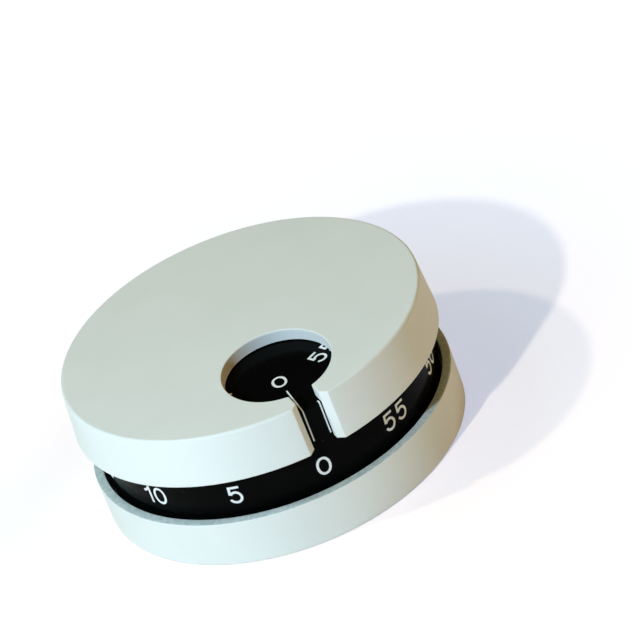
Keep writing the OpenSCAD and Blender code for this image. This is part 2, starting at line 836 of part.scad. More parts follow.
// A strip from its post to the outer side of the tail, which it pushes towards the cam
module hammer_spring() {
    strip_t = 0.2;
    strip_h = cam_t - 0.2;
    tip = (hammer_at + follower_at) / 2 + tail_out * (follower_r + strip_t);
    color("slategray") union() {
        at(hammer_spring_post_at, upper_z) cylinder(r = stop_pin_r, h = cam_z + cam_t - upper_z);
        translate([0, 0, cam_z]) link(hammer_spring_post_at, tip, strip_t, strip_h);
    }
}

base_shell();
dial_drum();
turning_cap();
case_screws();
lower_plate();
upper_plate();
plate_spacers();
movement_screws();
arbor_bushes();
bell();
bell_screw();
mainspring();
spring_post();
stop_pin();
hammer_spring();
main_arbor();
arbor_clip();
spring_collet();
ratchet_wheel();
main_wheel();
click_post();
click_spring();
click();
zero_cam();
stop_arm();
second_arbor();
second_wheel();
third_arbor();
third_wheel();
escape_arbor();
escape_wheel();
pallet_arbor();
pallet_lever();
pallet_pins();
balance_bar();
hammer_arbor();
hammer_arm();
hammer_head();
hammer_tail();
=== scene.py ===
"""Looks of a round mechanical kitchen timer.

A white base and a white turning cap hold a black dial drum with white numbers. Sizes are in millimetres and
become metres where a mesh is made. The slot in the cap faces -Y.
"""

import json
import math

import bmesh
import bpy
from mathutils import Matrix, Vector


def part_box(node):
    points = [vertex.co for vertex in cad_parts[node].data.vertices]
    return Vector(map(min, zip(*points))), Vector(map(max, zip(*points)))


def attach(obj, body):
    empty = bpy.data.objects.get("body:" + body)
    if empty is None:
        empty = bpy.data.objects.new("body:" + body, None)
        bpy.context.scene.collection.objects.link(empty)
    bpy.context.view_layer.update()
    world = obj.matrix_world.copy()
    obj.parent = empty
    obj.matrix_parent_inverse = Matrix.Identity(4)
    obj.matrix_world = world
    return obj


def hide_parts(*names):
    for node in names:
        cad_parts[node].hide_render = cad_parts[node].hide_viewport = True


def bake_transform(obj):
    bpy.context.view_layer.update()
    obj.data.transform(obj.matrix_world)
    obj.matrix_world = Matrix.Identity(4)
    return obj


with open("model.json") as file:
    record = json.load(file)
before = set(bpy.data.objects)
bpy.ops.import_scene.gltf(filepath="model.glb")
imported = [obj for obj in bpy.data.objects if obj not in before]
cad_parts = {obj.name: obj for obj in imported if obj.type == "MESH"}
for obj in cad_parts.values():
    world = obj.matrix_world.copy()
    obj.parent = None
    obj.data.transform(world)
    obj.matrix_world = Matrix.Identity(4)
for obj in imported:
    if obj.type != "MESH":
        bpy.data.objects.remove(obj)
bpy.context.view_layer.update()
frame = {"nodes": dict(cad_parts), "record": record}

MM = 0.001
SEGMENTS = 288
POST_SEGMENTS = 64
PIN_SEGMENTS = 48
HOLE_SEGMENTS = 32
ARC_STEPS = 6
SOFT_R = 0.2


def node_box(name):
    """Lowest and highest corner of a CAD node, in millimetres."""
    low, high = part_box(name)
    return low / MM, high / MM


# Sizes that come from the frame
cap_low, cap_high = node_box("turning_cap")
drum_low, drum_high = node_box("dial_drum")
base_high = node_box("base_shell")[1]
screws_low, screws_high = node_box("case_screws")
CAP_R = cap_high.x
CAP_Z = cap_low.z
CAP_TOP = cap_high.z
DRUM_R = drum_high.x
DRUM_Z = drum_low.z
DRUM_TOP = drum_high.z
BASE_R = base_high.x
BASE_TOP = 9.05
FLOOR_TOP = drum_low.z

# Cap
CAP_LEAN = 0.8
CAP_TOP_T = 2.2
CAP_INNER_R = DRUM_R + 0.4
CAP_EDGE_R = 0.45
CAP_LOWER_EDGE_R = 0.25
WINDOW_A = 9.75
WINDOW_B = 11.2
WINDOW_Y = 17.7
WINDOW_EDGE_R = 0.2
SLOT_HALF = 2.2
SLOT_CORNER_R = 0.3
CORNER_HALVINGS = 60
OVAL_STEPS = 60
SLOT_CHAMFER = 1.2
CHAMFER_SOFT_R = 0.3
EDGE_GROWTH_STEPS = 4
HUB_R = 3.8
HUB_BORE_R = 1.65
HUB_H = 2.3
FLAT_MARGIN = 0.35
TOP_MARGIN = 0.05

# Dial drum
DRUM_WALL = 1.6
DRUM_EDGE_R = 0.3
DRUM_HOLE_R = 4.3
COLUMN_R = 2.2
COLUMN_INSET = 0.9
SCREW_RING_R = DRUM_R - DRUM_WALL - COLUMN_INSET - COLUMN_R
SCREW_ANGLES = (100, 220, 340)
BOSS_RING_R = SCREW_RING_R - 5.7
BOSS_ANGLES = (130, 220, 315)
BOSS_H = 2.8
BOSS_Z = DRUM_TOP - DRUM_WALL - BOSS_H
COLUMN_OVER = 0.1

# Base
BASE_WALL = 1.7
BASE_LOWER_EDGE_R = 0.5
BASE_RIM_R = 0.22
# Half the height of the band of painted shade on the cup's rim
RIM_SHADE_H = 0.08
FLOOR_RECESS = 0.8
REST_RING_W = 4.0
FLOOR_JOIN = 1.0
SOUND_HOLES = 12
SOUND_HOLE_R = 1.2
SOUND_RING_R = 13.0
POST_R = 3.0
POST_TOP = BOSS_Z - 13.2
DRILL_OVER = 0.4
SOUND_FLARE = 0.25
SCREW_FLARE = 0.1

# Case screws
SCREW_HOLE_R = 1.15
SCREW_SHANK_R = SCREW_HOLE_R - 0.15
SCREW_POINT_R = SCREW_HOLE_R - 0.65
SCREW_POINT_L = 0.6
SCREW_HEAD_R = 1.9
SCREW_HEAD_EDGE_R = 0.3
SCREW_FLAT_R = 0.7
SCREW_DOME_R = SCREW_HEAD_R * 0.6
SCREW_DOME_H = 0.08
RECESS_L = 1.25
RECESS_W = 0.24
RECESS_OVER = 0.2
RECESS_DEPTH = 0.55
RECESS_TIP = 0.55
RECESS_SPIN = 1.3

# Strip springs: foot and tip in the plan, thickness and levels of the strip, and (r, z) points of the stem
LEAF_STEPS = 24
CLICK_FOOT = (-2.385, -7.515)
CLICK_TIP = (2.205, -5.805)
CLICK_LEAF = (0.18, 11.15, 11.75)
CLICK_STEM = [(0.8, 11.12), (0.9, 11.22), (0.9, 12.25), (0.5, 12.25), (0.5, 13.05)]
HAMMER_FOOT = (-14.9825, -7.0249)
HAMMER_TIP = (-11.6386, -2.37)
HAMMER_LEAF = (0.2, 20.65, 21.25)
HAMMER_STEM = [(0.5, 19.35), (0.5, 21.35), (0.4, 21.45)]

# Numbers and lines printed on the drum
ZERO_ANGLE = -92.5
DEGREES_A_MINUTE = 6
INK_T = 0.03
INK_STEP = 0.004
INK_SUNK = 0.01
DIGIT_H = 3.56
DIGIT_W = 2.7
STROKE_W = 0.47
DIGIT_SPACE = 0.64
MITRE_LIMIT = 0.35
SIDE_NUMBER_Z = 12.97
TOP_NUMBER_R = 19.25
LINE_W = 0.26
LINE_LOW_Z = 18.3
ZERO_LINE_R = 22.95
SHORT_LINE_L = 0.65
LINE_BEND_STEPS = 8

# Stage: half of the floor's side, and, in metres, where the floor starts and ends to grow whiter
FLOOR_HALF = 3000
GLOW_START = 0.045
GLOW_END = 0.14


# Meshes

def make_piece(name, verts, faces, body, slot, material, replaced=(), sharp=32, cutters=()):
    """A mesh object from points in millimetres that may ride on a body and may replace CAD nodes."""
    obj = raw_object(name, verts, faces)
    for cutter in cutters:
        cut(obj, cutter)
    obj.data.shade_smooth()
    obj.data.set_sharp_from_angle(angle=math.radians(sharp))
    obj.data.materials.clear()
    obj.data.materials.append(material)
    if body:
        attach(obj, body)
    if replaced:
        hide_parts(*replaced)
    return obj


def raw_object(name, verts, faces):
    mesh = bpy.data.meshes.new(name)
    mesh.from_pydata([Vector(v) * MM for v in verts], [], faces)
    bm = bmesh.new()
    bm.from_mesh(mesh)
    bmesh.ops.recalc_face_normals(bm, faces=bm.faces)
    bm.to_mesh(mesh)
    bm.free()
    obj = bpy.data.objects.new(name, mesh)
    bpy.context.scene.collection.objects.link(obj)
    return obj


def cut(obj, cutter):
    """Takes the cutter's solid, given as (verts, faces), out of the object's mesh."""
    tool = raw_object(obj.name + "_cutter", *cutter)
    modifier = obj.modifiers.new("cut", "BOOLEAN")
    modifier.operation = "DIFFERENCE"
    modifier.solver = "EXACT"
    modifier.object = tool
    graph = bpy.context.evaluated_depsgraph_get()
    mesh = bpy.data.meshes.new_from_object(obj.evaluated_get(graph))
    obj.modifiers.clear()
    old = obj.data
    obj.data = mesh
    bpy.data.meshes.remove(old)
    tool_mesh = tool.data
    bpy.data.objects.remove(tool)
    bpy.data.meshes.remove(tool_mesh)


def joined(*solids):
    """Several (verts, faces) solids as one."""
    verts = []
    faces = []
    for more_verts, more_faces in solids:
        start = len(verts)
        verts += more_verts
        faces += [[i + start for i in face] for face in more_faces]
    return verts, faces


def placed(solid, x, y, z=0.0):
    verts, faces = solid
    return [(v[0] + x, v[1] + y, v[2] + z) for v in verts], faces


def polar(radius, degrees):
    a = math.radians(degrees)
    return radius * math.cos(a), radius * math.sin(a)


def spun(solid, degrees):
    verts, faces = solid
    c, s = polar(1.0, degrees)
    return [(v[0] * c - v[1] * s, v[0] * s + v[1] * c, v[2]) for v in verts], faces


def round_copies(solid, radius, angles, spin=0.0):
    """Copies of a solid on a ring, each turned about itself by spin times its angle."""
    return joined(*[placed(spun(solid, spin * a), *polar(radius, a)) for a in angles])


def oval_arc(cx, cy, rx, ry, start, end, steps):
    """Points of an oval's arc from start to end, in degrees."""
    turn = [math.radians(start + (end - start) * i / steps) for i in range(steps + 1)]
    return [(cx + rx * math.cos(a), cy + ry * math.sin(a)) for a in turn]


def arc(cx, cy, radius, start, end, steps=ARC_STEPS):
    return oval_arc(cx, cy, radius, radius, start, end, steps)


def turned(profile, segments=SEGMENTS, ring=True):
    """A solid turned about Z from (r, z) points: a closed ring, or a line with a flat face at each end."""
    count = len(profile)
    verts = []
    for i in range(segments):
        c, s = polar(1.0, 360 * i / segments)
        verts += [(r * c, r * s, z) for r, z in profile]
    faces = []
    for i in range(segments):
        j = (i + 1) % segments
        for k in range(count if ring else count - 1):
            m = (k + 1) % count
            faces.append((i * count + k, j * count + k, j * count + m, i * count + m))
    if not ring:
        faces.append([i * count for i in range(segments)])
        faces.append([i * count + count - 1 for i in range(segments)])
    return verts, faces


def band_faces(count, closed):
    """Faces of a band with four points at each of its stations, with end faces unless it is closed."""
    faces = []
    for i in range(count if closed else count - 1):
        a, b = 4 * i, 4 * ((i + 1) % count)
        faces += [(a + k, a + (k + 1) % 4, b + (k + 1) % 4, b + k) for k in range(4)]
    if not closed:
        end = 4 * (count - 1)
        faces += [(3, 2, 1, 0), (end, end + 1, end + 2, end + 3)]
    return faces


# Cap: one closed outline runs round the window, out along the slot, round the rim and back

def corner_on_window():
    """The small round where the window meets the slot: its centre, the oval's angle and normal there."""
    low, high = -89.0, 0.0
    for _ in range(CORNER_HALVINGS):
        t = math.radians((low + high) / 2)
        nx, ny = math.cos(t) / WINDOW_A, math.sin(t) / WINDOW_B
        size = math.hypot(nx, ny)
        cx = WINDOW_A * math.cos(t) + SLOT_CORNER_R * nx / size
        cy = WINDOW_B * math.sin(t) - WINDOW_Y + SLOT_CORNER_R * ny / size
        if cx > SLOT_HALF + SLOT_CORNER_R:
            high = (low + high) / 2
        else:
            low = (low + high) / 2
    return cx, cy, (low + high) / 2, math.degrees(math.atan2(ny, nx))


def rounded(corner, before, after, radius):
    """An arc that rounds a left turn at a corner, between two headings in degrees."""
    reach = radius * math.tan(math.radians(after - before) / 2)
    back_x, back_y = polar(reach, before)
    side_x, side_y = polar(radius, before + 90)
    return arc(corner[0] - back_x + side_x, corner[1] - back_y + side_y, radius, before - 90, after - 90)


def cap_outline(rim_r):
    """The cap's outline as (x, y, edge radius), and the index of the point where the slot enters the wall.

    It starts at the window's inner end, and its second half mirrors the first.
    """
    cx, cy, oval_end, corner_dir = corner_on_window()
    window_side = oval_arc(0, -WINDOW_Y, WINDOW_A, WINDOW_B, 90, oval_end, OVAL_STEPS)
    window_side += arc(cx, cy, SLOT_CORNER_R, corner_dir + 180, 180)[1:]
    inner_y = -math.sqrt(CAP_INNER_R ** 2 - SLOT_HALF ** 2)
    slot_side = [(SLOT_HALF, (cy + inner_y) / 2), (SLOT_HALF, inner_y)]
    rim_x = SLOT_HALF + SLOT_CHAMFER
    rim_y = -math.sqrt(rim_r ** 2 - rim_x ** 2)
    rim_heading = 90 + math.degrees(math.atan2(rim_y, rim_x))
    chamfer = rounded((SLOT_HALF, rim_y + SLOT_CHAMFER), -90, -45, CHAMFER_SOFT_R)
    chamfer += rounded((rim_x, rim_y), -45, rim_heading, CHAMFER_SOFT_R)
    half = [(x, y, WINDOW_EDGE_R) for x, y in window_side + slot_side + chamfer]
    rim_start = math.degrees(math.atan2(chamfer[-1][1], chamfer[-1][0]))
    rim = arc(0, 0, rim_r, rim_start, 90, SEGMENTS // 2)[1:]
    for i, (x, y) in enumerate(rim, 1):
        share = min(1.0, i / EDGE_GROWTH_STEPS)
        half.append((x, y, WINDOW_EDGE_R + (CAP_EDGE_R - WINDOW_EDGE_R) * share))
    mirrored = [(-x, y, e) for x, y, e in reversed(half[1:-1])]
    return half + mirrored, len(window_side) + 1


def inward(points):
    """Unit normals into the material at each point of a closed outline that has it on its left."""
    count = len(points)
    normals = []
    for i in range(count):
        ax, ay = points[i - 1][:2]
        bx, by = points[(i + 1) % count][:2]
        length = math.hypot(bx - ax, by - ay)
        normals.append((-(by - ay) / length, (bx - ax) / length))
    return normals


def cap_mesh():
    top, inner_at = cap_outline(CAP_R - CAP_LEAN)
    low, _ = cap_outline(CAP_R)
    normals = inward(top)
    count = len(top)
    height = CAP_TOP - CAP_Z
    under_z = CAP_TOP - CAP_TOP_T
    first, last = inner_at, count - inner_at
    verts = []

    def point(i, z, inset):
        lean = (CAP_TOP - z) / height
        x = top[i][0] + (low[i][0] - top[i][0]) * lean + normals[i][0] * inset
        y = top[i][1] + (low[i][1] - top[i][1]) * lean + normals[i][1] * inset
        verts.append((x, y, z))
        return len(verts) - 1

    def top_row(degrees):
        c, s = polar(1.0, degrees)
        return [point(i, CAP_TOP - top[i][2] * (1 - s), top[i][2] * (1 - c)) for i in range(count)]

    rows = [[point(i, CAP_TOP, top[i][2] + TOP_MARGIN) for i in range(count)]]
    rows += [top_row(90 - 90 * k / ARC_STEPS) for k in range(ARC_STEPS + 1)]
    rows.append([point(i, CAP_TOP - top[i][2] - FLAT_MARGIN, 0) for i in range(count)])
    rows.append([point(i, under_z, 0) for i in range(count)])
    faces = [list(rows[0])]
    for upper, lower in zip(rows, rows[1:]):
        for i in range(count):
            j = (i + 1) % count
            faces.append((upper[i], lower[i], lower[j], upper[j]))

    rim = range(first, last + 1)
    lower_edge = [0 if i in (first, last) else CAP_LOWER_EDGE_R for i in rim]
    rim_rows = [[rows[-1][i] for i in rim]]
    rim_rows.append([point(i, CAP_Z + CAP_LOWER_EDGE_R + FLAT_MARGIN, 0) for i in rim])
    for k in range(ARC_STEPS + 1):
        c, s = polar(1.0, 90 * k / ARC_STEPS)
        z = CAP_Z + CAP_LOWER_EDGE_R * (1 - s)
        rim_rows.append([point(i, z, e * (1 - c)) for i, e in zip(rim, lower_edge)])
    for upper, lower in zip(rim_rows, rim_rows[1:]):
        faces += [(upper[i], lower[i], lower[i + 1], upper[i + 1]) for i in range(len(rim) - 1)]

    start = math.degrees(math.atan2(top[first][1], top[first][0]))
    ring = arc(0, 0, CAP_INNER_R, start, 180 - start, SEGMENTS)[1:-1]
    upper_ring = []
    lower_ring = []
    for x, y in ring:
        verts.append((x, y, under_z))
        upper_ring.append(len(verts) - 1)
        verts.append((x, y, CAP_Z))
        lower_ring.append(len(verts) - 1)
    start_edge = [row[0] for row in rim_rows]
    end_edge = [row[-1] for row in rim_rows]
    faces.append(start_edge + [lower_ring[0], upper_ring[0]])
    faces.append([upper_ring[-1], lower_ring[-1]] + end_edge[::-1])
    for i in range(len(ring) - 1):
        faces.append((upper_ring[i], lower_ring[i], lower_ring[i + 1], upper_ring[i + 1]))
    faces.append(rim_rows[-1] + lower_ring[::-1])
    inner_row = [rows[-1][i] for i in list(range(last, count)) + list(range(0, first + 1))]
    faces.append(inner_row + upper_ring)
    hub = turned([(HUB_BORE_R, under_z), (HUB_R, under_z), (HUB_R, under_z - HUB_H),
                  (HUB_BORE_R, under_z - HUB_H)], POST_SEGMENTS)
    return joined((verts, faces), hub)


# Base: a cup with a recessed floor, drilled for sound and for the case screws

def base_mesh():
    ring_inner = BASE_R - REST_RING_W
    inner = BASE_R - BASE_WALL
    floor_join = ring_inner - FLOOR_JOIN
    profile = [(floor_join, FLOOR_RECESS), (ring_inner, FLOOR_RECESS)]
    profile += arc(ring_inner + SOFT_R, SOFT_R, SOFT_R, 180, 270)
    profile.append((ring_inner + SOFT_R + FLAT_MARGIN, 0))
    profile.append((BASE_R - BASE_LOWER_EDGE_R - FLAT_MARGIN, 0))
    profile += arc(BASE_R - BASE_LOWER_EDGE_R, BASE_LOWER_EDGE_R, BASE_LOWER_EDGE_R, 270, 360)
    profile.append((BASE_R, BASE_LOWER_EDGE_R + FLAT_MARGIN))
    profile.append((BASE_R, BASE_TOP - BASE_RIM_R - FLAT_MARGIN))
    profile += arc(BASE_R - BASE_RIM_R, BASE_TOP - BASE_RIM_R, BASE_RIM_R, 0, 90)
    profile.append(((BASE_R + inner) / 2, BASE_TOP))
    profile += arc(inner + SOFT_R, BASE_TOP - SOFT_R, SOFT_R, 90, 180)
    profile.append((inner, FLOOR_TOP + 2 * SOFT_R + FLAT_MARGIN))
    profile += arc(inner - 2 * SOFT_R, FLOOR_TOP + 2 * SOFT_R, 2 * SOFT_R, 0, -90)
    profile.append((floor_join, FLOOR_TOP))
    shell = turned(profile, ring=False)
    post_profile = [(POST_R, FLOOR_TOP - SOFT_R), (POST_R, POST_TOP - SOFT_R), (POST_R - SOFT_R, POST_TOP)]
    return joined(shell, turned(post_profile, POST_SEGMENTS, ring=False))


def drilled(radius, flare):
    """A cutter for a hole through the floor, with its lower edge broken."""
    profile = [(radius + flare + DRILL_OVER, FLOOR_RECESS - DRILL_OVER), (radius, FLOOR_RECESS + flare)]
    profile.append((radius, FLOOR_TOP + DRILL_OVER))
    return turned(profile, HOLE_SEGMENTS, ring=False)


def floor_holes():
    sound = [360 * i / SOUND_HOLES for i in range(SOUND_HOLES)]
    return joined(round_copies(drilled(SOUND_HOLE_R, SOUND_FLARE), SOUND_RING_R, sound),
                  round_copies(drilled(SCREW_HOLE_R, SCREW_FLARE), SCREW_RING_R, SCREW_ANGLES))


# Case screws: domed heads with a cross recess, seen from below

def screw_mesh():
    head_low = screws_low.z
    edge = SCREW_HEAD_EDGE_R
    profile = [(SCREW_FLAT_R, head_low), (SCREW_DOME_R, head_low + SCREW_DOME_H / 2)]
    profile += arc(SCREW_HEAD_R - edge, head_low + edge + SCREW_DOME_H, edge, 270, 360)
    profile.append((SCREW_HEAD_R, FLOOR_RECESS))
    profile.append((SCREW_SHANK_R, FLOOR_RECESS))
    profile.append((SCREW_SHANK_R, screws_high.z - SCREW_POINT_L))
    profile.append((SCREW_POINT_R, screws_high.z))
    return round_copies(turned(profile, PIN_SEGMENTS, ring=False), SCREW_RING_R, SCREW_ANGLES)


def cross_recess():
    """Cutters of two crossed wedges that narrow towards the shank, for every screw."""
    low, deep = screws_low.z - RECESS_OVER, screws_low.z + RECESS_DEPTH
    corners = ((-1, -1), (1, -1), (1, 1), (-1, 1))
    wedges = []
    for wide, thin in ((RECESS_L, RECESS_W), (RECESS_W, RECESS_L)):
        verts = [(sx * wide, sy * thin, low) for sx, sy in corners]
        verts += [(sx * wide * RECESS_TIP, sy * thin * RECESS_TIP, deep) for sx, sy in corners]
        sides = [(0, 1, 5, 4), (1, 2, 6, 5), (2, 3, 7, 6), (3, 0, 4, 7)]
        wedge = verts, [(3, 2, 1, 0), (4, 5, 6, 7)] + sides
        wedges.append(round_copies(wedge, SCREW_RING_R, SCREW_ANGLES, RECESS_SPIN))
    return wedges


# Dial drum: an inverted cup with its bosses and screw columns

def drum_mesh():
    inner = DRUM_R - DRUM_WALL
    under = DRUM_TOP - DRUM_WALL
    profile = [(DRUM_HOLE_R, under)]
    profile += arc(DRUM_HOLE_R + SOFT_R, DRUM_TOP - SOFT_R, SOFT_R, 180, 90)
    profile.append((DRUM_HOLE_R + SOFT_R + FLAT_MARGIN, DRUM_TOP))
    profile.append((DRUM_R - DRUM_EDGE_R - FLAT_MARGIN, DRUM_TOP))
    profile += arc(DRUM_R - DRUM_EDGE_R, DRUM_TOP - DRUM_EDGE_R, DRUM_EDGE_R, 90, 0)
    profile.append((DRUM_R, DRUM_TOP - DRUM_EDGE_R - FLAT_MARGIN))
    profile += [(DRUM_R, DRUM_Z + FLAT_MARGIN), (DRUM_R, DRUM_Z), (inner, DRUM_Z), (inner, under)]
    column = turned([(COLUMN_R, DRUM_Z), (COLUMN_R, under + COLUMN_OVER)], PIN_SEGMENTS, ring=False)
    boss = turned([(COLUMN_R, BOSS_Z), (COLUMN_R, under + COLUMN_OVER)], PIN_SEGMENTS, ring=False)
    return joined(turned(profile), round_copies(column, SCREW_RING_R, SCREW_ANGLES),
                  round_copies(boss, BOSS_RING_R, BOSS_ANGLES))


# Strip springs: a thin strip on a stem

def leaf_mesh(foot, tip, strip, stem):
    """A strip spring on its stem, in short steps."""
    thick, low, high = strip
    start = Vector(foot)
    along = Vector(tip) - start
    side = Vector((-along.y, along.x)).normalized() * thick / 2
    verts = []
    for i in range(LEAF_STEPS + 1):
        middle = start + along * i / LEAF_STEPS
        for way, z in ((1, low), (-1, low), (-1, high), (1, high)):
            verts.append((*(middle + way * side), z))
    band = verts, band_faces(LEAF_STEPS + 1, False)
    return joined(band, placed(turned(stem, PIN_SEGMENTS, ring=False), *foot))


def make_leaf(name, foot, tip, strip, stem, material, node):
    """A strip spring on its stem that takes the place of a CAD node, with its transform baked into the
    mesh.
    """
    verts, faces = leaf_mesh(foot, tip, strip, stem)
    leaf = make_piece(name, verts, faces, None, "spring_steel", material, [node])
    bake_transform(leaf)


# Printed numbers: strokes of even width along centre lines, in a box DIGIT_W by DIGIT_H about the origin

HALF_W = (DIGIT_W - STROKE_W) / 2
HALF_H = (DIGIT_H - STROKE_W) / 2
END = STROKE_W / 2
CURVE_STEPS = 28


def straight(ax, ay, bx, by, steps=8):
    return [(ax + (bx - ax) * i / steps, ay + (by - ay) * i / steps) for i in range(steps + 1)]


def curve(a, b, c, d, steps=14):
    """A cubic curve from a to d that leaves towards b and arrives from c."""
    points = []
    for i in range(steps + 1):
        t = i / steps
        s = 1 - t
        points.append(tuple(s ** 3 * a[k] + 3 * s * s * t * b[k] + 3 * s * t * t * c[k] + t ** 3 * d[k]
                            for k in (0, 1)))
    return points


def bowl(cx, cy, rx, ry, start, end):
    return oval_arc(cx, cy, rx, ry, start, end, CURVE_STEPS)


def zero_ring():
    """A ring a little squarer than an oval."""
    squareness = 0.94
    ring = []
    for x, y in oval_arc(0, 0, 1, 1, 0, 360, 64)[:-1]:
        ring.append((HALF_W * math.copysign(abs(x) ** squareness, x),
                     HALF_H * math.copysign(abs(y) ** squareness, y)))
    return ring


def digit_strokes(digit):
    """Centre lines of a digit as (points, closed), and the width that it takes."""
    w, h = HALF_W, HALF_H
    if digit == 0:
        return [(zero_ring(), True)], DIGIT_W
    if digit == 1:
        stem_x = 0.48
        foot, bend = (stem_x - 1.25, h - 0.85), (stem_x - 0.7, h - 0.76)
        flag = curve(foot, bend, (stem_x - 0.2, h - 0.4), (stem_x, h + 0.1))
        return [(straight(stem_x, h + END, stem_x, -h - END), False), (flag, False)], 1.5
    if digit == 2:
        top = bowl(0, h - 0.97, w * 0.97, 0.97, 168, -8)
        tail = curve(top[-1], (top[-1][0], h - 1.62), (-w + 0.22, -0.42), (-w + 0.02, -h + 0.05))
        return [(top + tail[1:], False), (straight(-w - 0.1, -h, w + END * 0.7, -h), False)], DIGIT_W
    if digit == 3:
        upper = bowl(-0.02, h - 0.75, w * 0.86, 0.75, 160, -90)
        lower = bowl(-0.02, -h + 0.815, w * 0.97, 0.815, 90, -166)
        bar = straight(-0.45, h - 1.5, -0.02, h - 1.5)
        return [(upper, False), (lower, False), (bar, False)], DIGIT_W
    if digit == 4:
        stem_x, bar_y = 0.5, -0.66
        stem = straight(stem_x, h + END, stem_x, -h - END)
        slope = straight(stem_x, h - 0.02, -w, bar_y)
        bar = straight(-w - END * 0.8, bar_y, w + END, bar_y)
        return [(stem, False), (slope, False), (bar, False)], DIGIT_W
    flag = straight(1.04, h, -0.8, h) + straight(-0.8, h, -0.95, 0.06)[1:]
    belly = bowl(0, -0.5, 1.0, 1.04, 146, -90) + bowl(0, -0.5, 1.12, 1.04, -90, -160)[1:]
    return [(flag, False), (belly, False)], DIGIT_W


def left_of(a, b):
    """Unit step to the left of the way from a to b."""
    dx, dy = b[0] - a[0], b[1] - a[1]
    length = math.hypot(dx, dy)
    return -dy / length, dx / length


def mitre(points, i, closed):
    """Step from a point of a centre line to the stroke's left side, mitred where the line turns."""
    sides = []
    if closed or i > 0:
        sides.append(left_of(points[i - 1], points[i]))
    if closed or i < len(points) - 1:
        sides.append(left_of(points[i], points[(i + 1) % len(points)]))
    nx = sum(side[0] for side in sides)
    ny = sum(side[1] for side in sides)
    length = math.hypot(nx, ny)
    nx, ny = nx / length, ny / length
    reach = STROKE_W / 2 / max(MITRE_LIMIT, nx * sides[0][0] + ny * sides[0][1])
    return nx * reach, ny * reach


def stroke_solid(points, closed, top, place):
    """A thin band along a centre line; place(x, y, h) puts a point on the drum, h above its surface."""
    verts = []
    for i, (x, y) in enumerate(points):
        nx, ny = mitre(points, i, closed)
        for side, level in ((1, -INK_SUNK), (-1, -INK_SUNK), (-1, top), (1, top)):
            verts.append(place(x + side * nx, y + side * ny, level))
    return verts, band_faces(len(points), closed)


def number_solid(value, place):
    """The digits of a number side by side, centred; each stroke of a digit lies a little over the last."""
    digits = [int(c) for c in str(value)]
    widths = [digit_strokes(d)[1] for d in digits]
    x = -(sum(widths) + DIGIT_SPACE * (len(digits) - 1)) / 2
    solids = []
    for digit, width in zip(digits, widths):
        middle = x + width / 2
        for layer, (points, closed) in enumerate(digit_strokes(digit)[0]):
            moved = [(px + middle, py) for px, py in points]
            solids.append(stroke_solid(moved, closed, INK_T + INK_STEP * layer, place))
        x += width + DIGIT_SPACE
    return joined(*solids)


def on_side(degrees):
    def place(x, y, h):
        a = degrees + math.degrees(x / DRUM_R)
        return (*polar(DRUM_R + h, a), SIDE_NUMBER_Z + y)
    return place


def on_top(degrees):
    c, s = polar(1.0, degrees)

    def place(x, y, h):
        r = TOP_NUMBER_R - y
        return r * c - x * s, r * s + x * c, DRUM_TOP + h
    return place


def minute_angle(minute):
    return ZERO_ANGLE - DEGREES_A_MINUTE * minute


def numbers(where):
    return joined(*[number_solid(v, where(minute_angle(v))) for v in range(0, 60, 5)])


def line_solid(degrees, start_r):
    """A line on the drum from start_r on its top, over its edge and down its side."""
    path = [(start_r, DRUM_TOP, 90)]
    for k in range(LINE_BEND_STEPS + 1):
        a = 90 - 90 * k / LINE_BEND_STEPS
        c, s = polar(DRUM_EDGE_R, a)
        path.append((DRUM_R - DRUM_EDGE_R + c, DRUM_TOP - DRUM_EDGE_R + s, a))
    path.append((DRUM_R, LINE_LOW_Z, 0))
    c, s = polar(1.0, degrees)
    verts = []
    for r, z, lean in path:
        out, rise = polar(1.0, lean)
        for side, level in ((1, -INK_SUNK), (-1, -INK_SUNK), (-1, INK_T), (1, INK_T)):
            x = side * LINE_W / 2
            radius = r + out * level
            verts.append((radius * c - x * s, radius * s + x * c, z + rise * level))
    return verts, band_faces(len(path), False)


def minute_lines():
    zero = line_solid(minute_angle(0), ZERO_LINE_R)
    others = [line_solid(minute_angle(m), DRUM_R - SHORT_LINE_L) for m in range(1, 60)]
    return joined(zero, *others)


# Materials: each mixes several scales of noise into colour, roughness and relief

def new_material(name):
    material = bpy.data.materials.new(name)
    material.use_nodes = True
    tree = material.node_tree
    shader = tree.nodes["Principled BSDF"]
    coords = tree.nodes.new("ShaderNodeTexCoord")
    return material, tree, shader, coords.outputs["Object"]


def noise(tree, vector, scale, detail=3.0, stretch=None):
    if stretch:
        mapping = tree.nodes.new("ShaderNodeMapping")
        mapping.inputs["Scale"].default_value = stretch
        tree.links.new(vector, mapping.inputs["Vector"])
        vector = mapping.outputs["Vector"]
    node = tree.nodes.new("ShaderNodeTexNoise")
    node.inputs["Scale"].default_value = scale
    node.inputs["Detail"].default_value = detail
    tree.links.new(vector, node.inputs["Vector"])
    return node.outputs["Fac"]


def ramp(tree, value, stops):
    """A colour ramp with (position, colour) stops."""
    node = tree.nodes.new("ShaderNodeValToRGB")
    elements = node.color_ramp.elements
    while len(elements) < len(stops):
        elements.new(1.0)
    for element, (position, colour) in zip(elements, stops):
        element.position = position
        element.color = (*colour, 1.0)
    tree.links.new(value, node.inputs["Fac"])
    return node.outputs["Color"]


def span(tree, value, low, high, start=0.3, end=0.7):
    """A value, by default a noise, spread from low to high."""
    node = tree.nodes.new("ShaderNodeMapRange")
    node.inputs["From Min"].default_value = start
    node.inputs["From Max"].default_value = end
    node.inputs["To Min"].default_value = low
    node.inputs["To Max"].default_value = high
    tree.links.new(value, node.inputs["Value"])
    return node.outputs["Result"]


